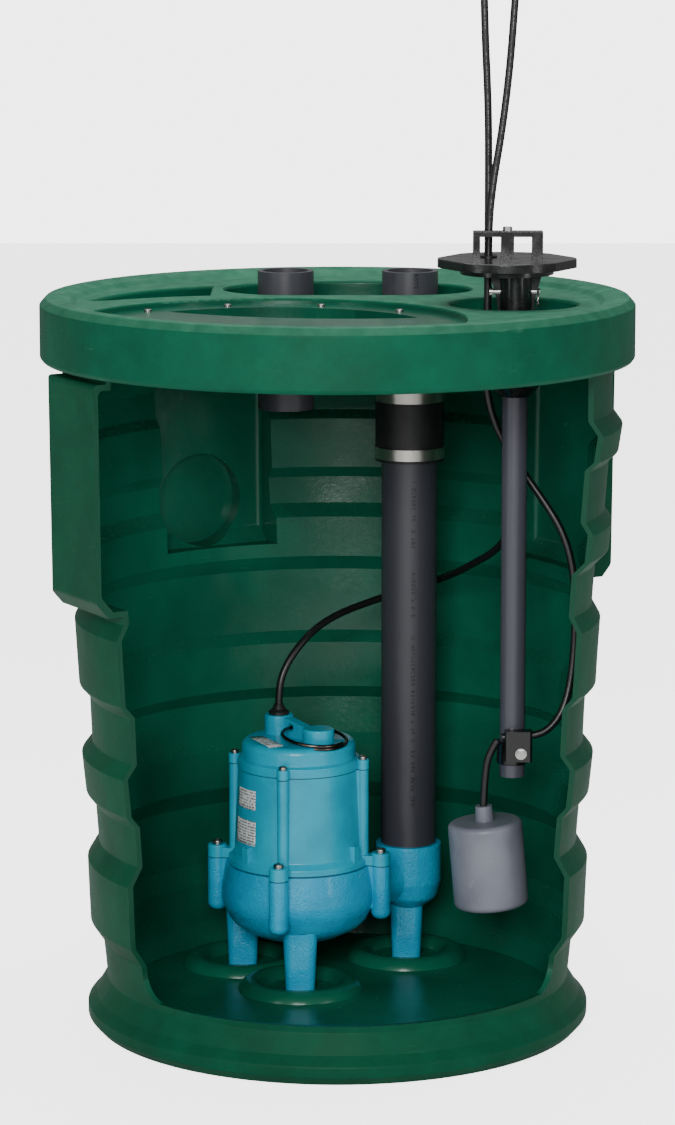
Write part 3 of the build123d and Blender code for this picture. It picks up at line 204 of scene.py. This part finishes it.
# ---- Volute
# The pump's lower half and discharge boss, on three legs that stand in the floor's moulded rings.
# Cast iron under a thick baked coat of blue epoxy that keeps the sand texture of the casting.
def enamel(name, deep, pale, grain):
    blue = Finish(name)
    blotch = blue.noise(22, 3).rise(0.3, 0.7)
    sand = blue.noise(520, 3, rough=0.6)
    pits = blue.place.node("ShaderNodeTexVoronoi", {"Vector": blue.place, "Scale": 260.0})
    pits = pits.rise(0.1, 0.42)
    lumps = blue.noise(90, 3)
    rubs = blue.noise(70, 4, rough=0.7).rise(0.68, 0.76)
    base = blotch.mix(deep, pale)
    base = (rubs * 0.3).mix(base, colour(150, 205, 220))
    blue.set("Base Color", base)
    blue.set("Roughness", (sand - 0.5) * 0.25 + 0.34 + rubs * 0.2)
    blue.set("Specular IOR Level", 0.3)
    blue.set("Coat Weight", 0.3)
    blue.set("Coat Roughness", 0.14)
    blue.bump(sand * (0.0006 * grain), pits * (0.0003 * grain), lumps * (0.0007 * grain))
    return blue


enamel("epoxy_rough", (0.0, 0.30, 0.52, 1), (0.0, 0.38, 0.62, 1), 1.0).wear("volute")


# ---- Impeller, shaft, seal and motor
# The turning parts sit inside the castings: a cast impeller with its nut on a steel shaft, the
# rotor's laminations, two ball bearings, a carbon seal, and the stator with its varnished windings.
def metal(name, tint, rough, stretch=(1, 1, 1), depth=0.00003):
    steel = Finish(name, Metallic=1.0)
    lines = steel.noise(240, 3, stretch=stretch)
    dull = steel.noise(40, 3)
    steel.set("Base Color", dull.mix(shade(tint, 0.8), tint))
    steel.set("Roughness", (lines - 0.5) * 0.08 + (dull - 0.5) * 0.12 + rough)
    steel.bump(lines * depth)
    return steel


metal("cast_grey", colour(110, 110, 112), 0.6, depth=0.0002).wear("impeller")
bright = metal("bright_steel", colour(190, 190, 188), 0.28)
bright.wear("motor_shaft", "impeller_nut", "upper_bearing", "lower_bearing", "switch_ball")
laminations = metal("laminations", colour(120, 120, 124), 0.45, stretch=(0.1, 0.1, 8), depth=0.0002)
laminations.wear("rotor_core", "stator")
windings = metal("windings", colour(190, 108, 60), 0.4, stretch=(6, 6, 0.3), depth=0.0003)
windings.wear("stator_windings")
Finish("carbon", Base_Color=colour(32, 32, 34), Roughness=0.4).wear("shaft_seal")


# ---- Motor housing, cap and gaskets
# The ribbed housing is gasketed to the volute and the domed cap to the housing.
# The same epoxy over smoother castings; the gaskets show as thin dark brown lines.
smooth = enamel("epoxy_smooth", (0.0, 0.32, 0.47, 1), (0.0, 0.40, 0.57, 1), 0.35)
smooth.wear("motor_housing", "motor_cap")
Finish("gasket", Base_Color=colour(48, 26, 22), Roughness=0.8).wear("volute_gasket", "cap_gasket")


# ---- Machine screws of the pump
# Four hold the cap to the housing and four hold the housing to the volute's ears.
# Stainless steel with turned heads.
metal("screw_steel", colour(168, 164, 158), 0.3).wear("cap_screws", "volute_screws")


# ---- Lifting ring
# A split ring of spring wire, lapped over itself, hung through the eye in the cap's web.
# Plain steel wire, browned where it was heated.
RING_EYE = Vector((-0.046757, 0.070669, 0.2985))
RING_R, RING_WIRE_R = 0.0347, 0.00195
RING_STEPS, RING_STEP_TURN, RING_START = 105, 4, -40
wire = metal("ring_wire", colour(104, 96, 90), 0.24).wear("bail_ring")
ring_turn, ring_tilt = math.radians(-50), math.radians(8.8)
ring_out = Vector((math.cos(ring_tilt) * math.cos(ring_turn),
                   math.cos(ring_tilt) * math.sin(ring_turn), -math.sin(ring_tilt)))
ring_along = Vector((-math.sin(ring_turn), math.cos(ring_turn), 0))
ring_up = ring_out.cross(ring_along)
ring_centre = RING_EYE + ring_out * RING_R
coil = bpy.data.curves.new("bail_ring_look", "CURVE")
coil.dimensions = "3D"
run = coil.splines.new("POLY")
run.points.add(RING_STEPS)
for i, at in enumerate(run.points):
    turn = math.radians(RING_START + RING_STEP_TURN * i)
    place = ring_centre + (ring_out * math.cos(turn) + ring_along * math.sin(turn)) * RING_R
    at.co = (*(place + ring_up * (2 * RING_WIRE_R * (i / RING_STEPS - 0.5))), 1)
coil.bevel_depth = RING_WIRE_R
coil.bevel_resolution = 4
coil.use_fill_caps = True
coil.materials.append(wire.made)
bail_look = bpy.data.objects.new("bail_ring_look", coil)
bpy.context.collection.objects.link(bail_look)
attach(bail_look, "bail")
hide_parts("bail_ring")


# ---- Labels
# Two paper labels on the housing's left side and a diamond one on the cap, stuck flat on the paint.
# Their print is only rows of small grey marks.
def label_paper(name, across, up, row, column):
    """White paper with rows of marks; across and up give two directions over it, in metres."""
    paper = Finish(name, Roughness=0.55)
    along = across(paper.place) / column
    rows = up(paper.place) / row
    in_row = rows.math("FRACT")
    cell = along.node("ShaderNodeCombineXYZ", {0: along.math("FLOOR"), 1: rows.math("FLOOR")})
    chance = cell.node("ShaderNodeTexWhiteNoise", {"Vector": cell}, noise_dimensions="3D")
    ink = (in_row > 0.25) * (in_row < 0.75) * (chance > 0.3)
    paper.set("Base Color", (ink * 0.8).mix(colour(222, 226, 226), colour(70, 76, 84)))
    return paper


PAPER_THICK, PAPER_LIFT = 0.0001, 0.0003


def patch(name, point_rows, finish, body):
    """A thin closed sheet through rows of points, each with the way it faces."""
    rows, columns = len(point_rows), len(point_rows[0])
    front = [point for row in point_rows for point, _ in row]
    back = [point - normal * PAPER_THICK for row in point_rows for point, normal in row]
    faces = []
    count = rows * columns
    for i in range(rows - 1):
        for j in range(columns - 1):
            a, d = i * columns + j, (i + 1) * columns + j
            b, c = a + 1, d + 1
            faces += [(a, b, c, d), (d + count, c + count, b + count, a + count)]
    rim = (list(range(columns)) + [i * columns + columns - 1 for i in range(1, rows)]
           + [(rows - 1) * columns + j for j in range(columns - 2, -1, -1)]
           + [i * columns for i in range(rows - 2, 0, -1)])
    for here, after in zip(rim, rim[1:] + rim[:1]):
        faces.append((after, here, here + count, after + count))
    mesh = bpy.data.meshes.new(name)
    mesh.from_pydata(front + back, [], faces)
    mesh.polygons.foreach_set("use_smooth", [True] * len(mesh.polygons))
    mesh.materials.append(finish.made)
    made = bpy.data.objects.new(name, mesh)
    bpy.context.collection.objects.link(made)
    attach(made, body)
    return made


PUMP_AXIS = Vector((-0.042, 0.065))
HOUSING_FOOT_R, HOUSING_FOOT_Z, HOUSING_HEIGHT, HOUSING_TAPER = 0.0695, 0.1645, 0.092, 0.004
LABEL_ROWS, LABEL_COLUMNS = 5, 13
printed = label_paper(
    "label_print", lambda place: (place.split()[1] - PUMP_AXIS.y) * 1.2 + place.split()[0] * 0.4,
    lambda place: place.split()[2], 0.0031, 0.0011)


def housing_label(name, start, end, low, high):
    """A label on the housing between two angles in degrees and two heights."""
    rows = []
    for i in range(LABEL_ROWS):
        z = low + (high - low) * i / (LABEL_ROWS - 1)
        radius = HOUSING_FOOT_R - HOUSING_TAPER * (z - HOUSING_FOOT_Z) / HOUSING_HEIGHT + PAPER_LIFT
        row = []
        for j in range(LABEL_COLUMNS):
            turn = math.radians(start + (end - start) * j / (LABEL_COLUMNS - 1))
            out = Vector((math.cos(turn), math.sin(turn), 0))
            row.append((Vector((*(PUMP_AXIS + out.xy * radius), z)), out))
        rows.append(row)
    return patch(name, rows, printed, "root")


housing_label("upper_label", -163, -133, 0.2185, 0.2395)
housing_label("lower_label", -165, -132, 0.1795, 0.2065)

CAP_LABEL_Z = 0.2882
cap_print = label_paper("cap_label_print", lambda place: place.split()[0],
                        lambda place: place.split()[1], 0.0042, 0.0018)
corners = [Vector((x, y, CAP_LABEL_Z)) for x, y in (
    (-0.0955, 0.0678), (-0.0719, 0.0131), (-0.0571, 0.0230), (-0.0800, 0.0730))]
up = Vector((0, 0, 1))
grid = [[(corners[0].lerp(corners[1], j / 4).lerp(corners[3].lerp(corners[2], j / 4), i / 4), up)
         for j in range(5)] for i in range(5)]
patch("cap_label", grid, cap_print, "root")


# ---- Cord gland
# The moulded bush where the cord enters the cap's boss, screwed down into it.
# Black rubber.
def rubber(name, tint, rough):
    black = Finish(name)
    dust = black.noise(110, 4).rise(0.35, 0.75)
    black.set("Base Color", (dust * 0.5).mix(tint, shade(tint, 2.2)))
    black.set("Roughness", (dust - 0.5) * 0.2 + rough)
    black.set("Specular IOR Level", 0.4)
    black.bump(black.noise(600, 2) * 0.00008)
    return black


black_rubber = rubber("black_rubber", colour(22, 22, 23), 0.55)
black_rubber.wear("cord_gland", "stub_seals", "pipe_coupling", "cord_grommet")


# ---- Pump cord
# The round cord leaves the gland, passes behind the discharge pipe, rises beside the float rod and
# goes up through the access cover; it is drawn upwards, with its plug at the top.
# Black jacket with a line of small pale print along its upper stretch.
MARK_PITCH, PRINT_BOTTOM = 0.0016, 0.84
CORD_R = 0.004


def jacket(name):
    cord = Finish(name)
    z = cord.place.split()[2]
    nx, ny, _ = cord.facing.split()
    row = z / MARK_PITCH
    chance = row.node("ShaderNodeTexWhiteNoise", {"W": row.math("FLOOR")}, noise_dimensions="1D")
    stretch = cord.noise(11, 1, stretch=(0.01, 0.01, 1)) > 0.42
    ink = ((chance > 0.5) * stretch * (ny < -0.9) * (nx.math("ABSOLUTE") < 0.13)
           * (z > PRINT_BOTTOM))
    cord.set("Base Color", (ink * 0.3).mix(colour(18, 18, 19), colour(170, 170, 165)))
    cord.set("Roughness", cord.noise(90, 3) * 0.12 + 0.3)
    cord.set("Specular IOR Level", 0.5)
    cord.bump(cord.noise(300, 2) * 0.0001)
    return cord


cord_black = jacket("cord_jacket")


def spline(name, points, body, finish):
    """A round cord along a smooth line near the points, which are in millimetres."""
    line = bpy.data.curves.new(name, "CURVE")
    line.dimensions = "3D"
    run = line.splines.new("NURBS")
    run.points.add(len(points) - 1)
    for at, point in zip(run.points, points):
        at.co = (point[0] / 1000, point[1] / 1000, point[2] / 1000, 1)
    run.order_u = 3
    run.use_endpoint_u = True
    run.resolution_u = 8
    line.bevel_depth = CORD_R
    line.bevel_resolution = 5
    line.use_fill_caps = True
    line.materials.append(finish.made)
    made = bpy.data.objects.new(name, line)
    bpy.context.collection.objects.link(made)
    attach(made, body)
    return made


pump_route = [
    (-63.533, 90.662, 320), (-63.533, 90.662, 340), (-55, 97, 363), (-39, 108, 384), (-22, 126, 398),
    (0, 147, 408), (24, 167, 414), (52, 182, 421), (82, 187, 430), (110, 176, 441),
    (131, 150, 454), (148, 116, 470), (166, 80, 487), (180, 48, 508), (186, 30, 545),
    (187, 26, 600), (186, 25.5, 648), (178, 23, 682), (166, 17, 712),
    (157, 13, 740), (157, 13, 768), (157, 13, 930), (155.5, 13, 985), (152.5, 13, 1040),
    (151, 13, 1092),
]
pump_flex = spline("pump_cord_look", pump_route, "root", cord_black)
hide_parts("pump_cord")
plug_vinyl = rubber("plug_vinyl", colour(26, 26, 27), 0.42)
plug_vinyl.wear("pump_plug", "float_plug")
metal("brass", colour(200, 165, 95), 0.3).wear("pump_plug_blades", "float_plug_blades")


# ---- Discharge pipe, coupling and clamps
# The pipe stands in the volute's boss; a rubber coupling with two bands joins it to the stub.
# Dark grey PVC with a broken line of black print, rubber, and stainless steel.
def pvc(name, tint, centre, print_at, low, high, rough=0.42):
    """Extruded pipe; print_at is how far the line of print is to the right of the pipe's axis."""
    pipe = Finish(name)
    x, y, z = pipe.place.split()
    side = x - (centre[0] + print_at)
    letter = z / 0.0042
    stroke = pipe.place.node("ShaderNodeCombineXYZ", {0: (side / 0.0011).math("FLOOR"),
                                                      1: (z / 0.00085).math("FLOOR")})
    chance = stroke.node("ShaderNodeTexWhiteNoise", {"Vector": stroke}, noise_dimensions="3D")
    word = letter.node("ShaderNodeTexWhiteNoise", {"W": letter.math("FLOOR")},
                       noise_dimensions="1D")
    gap = letter.math("FRACT") < 0.72
    ink = ((chance > 0.36) * (word > 0.2) * gap * (side.math("ABSOLUTE") < 0.0023)
           * (y < centre[1]) * (z > low) * (z < high)
           * (pipe.noise(16, 1, stretch=(0.01, 0.01, 1)) > 0.42))
    smudge = pipe.noise(38, 5, stretch=(1, 1, 0.6), rough=0.7).rise(0.62, 0.75)
    scratch = pipe.noise(130, 3, stretch=(1.6, 1.6, 0.35)).rise(0.72, 0.78)
    base = (smudge * 0.5).mix(tint, shade(tint, 0.45))
    base = (scratch * 0.35).mix(base, shade(tint, 2.3))
    pipe.set("Base Color", (ink * 0.85).mix(base, colour(14, 14, 16)))
    pipe.set("Roughness", (pipe.noise(80, 3) - 0.5) * 0.2 + rough)
    pipe.bump(pipe.noise(220, 3, stretch=(1, 1, 0.05)) * 0.0001, pipe.noise(12, 2) * 0.0006)
    return pipe


DISCHARGE_AXIS = (0.078, 0.139)
pvc("discharge_pvc", colour(55, 55, 62), DISCHARGE_AXIS, 0.004, 0.20, 0.56).wear("discharge_pipe")
band = metal("band_steel", colour(200, 198, 190), 0.3, stretch=(0.2, 0.2, 3), depth=0.00001)
band.wear("coupling_clamps")


# ---- Lid
# The deep-skirted lid covers the basin's rim, with wells round the stubs, at the side and in front.
# Moulded green polyethylene like the basin's, with pale scuffs, and a painted paler sheen on its
# raised, upward-facing deck faces for the light from above.
WELL_LIMIT, SKIRT_INNER_R = 0.7626, 0.303
SEAM_HALF_WIDTH = 0.0006


def inside_wells(radius, z, outward, nz):
    """The wells' floors and walls and the lid's inner faces."""
    return (nz > 0.3).math("MAXIMUM", outward < 0.1) * (z < WELL_LIMIT) * (radius < SKIRT_INNER_R)


def mould_seam(x, y, z, outward, nz):
    """A faint upright line on the skirt where the mould's halves met."""
    off_seam = (x * 0.832 + y * 0.5548).math("ABSOLUTE")
    return (off_seam < SEAM_HALF_WIDTH) * (outward > 0.9) * 0.35


# The pale colour is shared by the scuffs and the painted sheen; the lambda puts that painted sheen on
# the deck's upward faces.
moulded("lid_green", (0.0008, 0.076, 0.039, 1), (0.0006, 0.062, 0.034, 1), inside_wells, mould_seam,
        colour(84, 140, 114), lambda z, radius: z.rise(0.7650, 0.7658) * 0.5).wear("lid")


# ---- Lid screws
# Four pan-head screws hold the lid's well to the basin's rim bracket.
# Stainless steel.
metal("lid_screw_steel", colour(150, 150, 146), 0.32).wear("lid_screws")


# ---- Pipe stubs and seals
# The discharge and vent stubs stand out of the lid through rubber grommets.
# The same dark grey PVC as the discharge pipe.
stub = pvc("stub_pvc", colour(60, 60, 67), DISCHARGE_AXIS, 0.006, 0.50, 0.80)
stub.wear("discharge_stub", "vent_stub")


# ---- Access cover, handle and bolt
# A round cover with four flats and a cord slot closes the hatch; its bar handle stands on posts.
# Black moulded plastic, semi-gloss, with a slightly uneven skin.
def black_plastic(name, tint, rough):
    shiny = Finish(name)
    haze = shiny.noise(55, 4).rise(0.4, 0.75)
    shiny.set("Base Color", (haze * 0.4).mix(tint, shade(tint, 2)))
    shiny.set("Roughness", haze * 0.12 + rough)
    shiny.set("Specular IOR Level", 0.55)
    shiny.bump(shiny.noise(240, 2) * 0.00012, shiny.noise(30, 2) * 0.0006)
    return shiny


cover_black = black_plastic("cover_plastic", colour(15, 15, 16), 0.22)
cover_black.wear("access_cover", "cover_handle", "hanger_socket", "rod_collar", "rod_clamp")
bright.wear("handle_bolt", "clamp_bolt")


# ---- Float rod, socket pin and rings
# The rod hangs in the socket under the cover, held by a pin with a split ring, so the float lifts out
# with it.
# Grey PVC tube, stainless pin.
NO_PRINT = (0.0, 0.0)
pvc("rod_pvc", colour(70, 70, 80), (0.185, -0.012), 0.002, *NO_PRINT, rough=0.32).wear("float_rod")
bright.wear("socket_pin", "pin_rings")


# ---- Float cord
# It leaves the clamp's lug, loops out behind the rod and rises through the cover's slot.
# The same jacket as the pump's; it is drawn upwards, with its plug at the top.
float_route = [
    (173, -31, 309.5), (208, -31, 309.5), (228, -27, 321), (242, -20, 346),
    (249, -13, 388), (251, -9, 440), (248, -6, 488), (237, -2, 524), (219, 4, 553),
    (199, 9.5, 580), (182, 11, 606), (166, 8, 634), (156, 3, 668), (153.5, 0, 712),
    (157, 0, 780), (157, 0, 850), (161.5, 0, 892), (169.5, 0, 940),
    (176, 0, 992), (180.5, 0, 1044), (183.5, 0, 1092),
]
float_flex = spline("float_cord_look", float_route, "cover", cord_black)
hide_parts("float_cord")


# ---- Float
# A sealed float with a ball switch inside hangs from the clamp on the last stretch of its cord.
# Pale grey polypropylene, satin, lightly rubbed.
pale = Finish("float_plastic")
cloud = pale.noise(20, 4).rise(0.3, 0.7)
rubbed = pale.noise(75, 4, rough=0.7).rise(0.62, 0.75)
body_grey = cloud.mix(colour(106, 109, 121), colour(120, 123, 134))
pale.set("Base Color", (rubbed * 0.4).mix(body_grey, colour(168, 168, 176)))
pale.set("Roughness", cloud * 0.1 + 0.36)
pale.set("Specular IOR Level", 0.5)
pale.bump(pale.noise(260, 2) * 0.00012, pale.noise(24, 2) * 0.0012)
pale.wear("float_shell", "float_neck", "switch_capsule")
tether_route = [(168.5, -31, 306), (160.5, -31, 294), (155.5, -31, 272), (154.212, -31, 235.64)]
tether = spline("float_tether_look", tether_route, "float", cord_black)
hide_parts("float_tether")


# ---- Floor and light
# A plain pale floor, a large soft light on each side, one above and a pale surround.
floor_mesh = bpy.data.meshes.new("floor")
HALF_FLOOR = 9
floor_corners = [(x * HALF_FLOOR, y * HALF_FLOOR, 0) for x, y in ((-1, -1), (1, -1), (1, 1), (-1, 1))]
floor_mesh.from_pydata(floor_corners, [], [(0, 1, 2, 3)])
floor = bpy.data.objects.new("floor", floor_mesh)
pale_floor = Finish("pale_floor", Base_Color=(0.9, 0.9, 0.9, 1), Roughness=0.7,
                    Emission_Color=(1, 1, 1, 1))
pale_floor.set("Emission Strength",
               pale_floor.place.node("ShaderNodeLightPath", out="Is Camera Ray") * 3.0)
floor_mesh.materials.append(pale_floor.made)
bpy.context.collection.objects.link(floor)

scene = bpy.context.scene
scene.world = bpy.data.worlds.new("surround")
scene.world.use_nodes = True
sky = scene.world.node_tree
for link in list(sky.links):
    sky.links.remove(link)
seen = Value(sky, None).node("ShaderNodeLightPath", out="Is Camera Ray")
shown = seen.node("ShaderNodeBackground", {"Color": (1, 1, 1, 1), "Strength": seen * 4.0 + 0.3})
sky.links.new(shown.socket, sky.nodes["World Output"].inputs["Surface"])


def soft_light(name, place, aim, width, height, watts):
    light = bpy.data.lights.new(name, "AREA")
    light.shape = "RECTANGLE"
    light.size, light.size_y, light.energy = width, height, watts
    made = bpy.data.objects.new(name, light)
    made.location = place
    made.rotation_euler = (Vector(aim) - Vector(place)).to_track_quat("-Z", "Y").to_euler()
    bpy.context.collection.objects.link(made)


soft_light("front_box", (-0.4, -4.2, 1.9), (0, 0, 0.40), 1.7, 1.2, 138)
soft_light("left_box", (-2.5, -2.2, 1.2), (0, 0, 0.4), 0.35, 1.6, 14)
soft_light("right_box", (2.5, -2.2, 1.1), (0, 0, 0.4), 0.35, 1.6, 12)
soft_light("top_box", (0.1, 0.3, 2.6), (0, 0, 0.7), 1.6, 1.2, 42)


# ---- Camera
# In front of the window and a little above the lid.
eye = bpy.data.objects.new("camera", bpy.data.cameras.new("camera"))
eye.location = (0, -4.11964, 1.20624)
eye.rotation_euler = (math.radians(80.1482), 0, 0)
eye.data.lens = 127.05
eye.data.sensor_width = 36
eye.data.clip_end = 60
bpy.context.collection.objects.link(eye)
scene.camera = eye
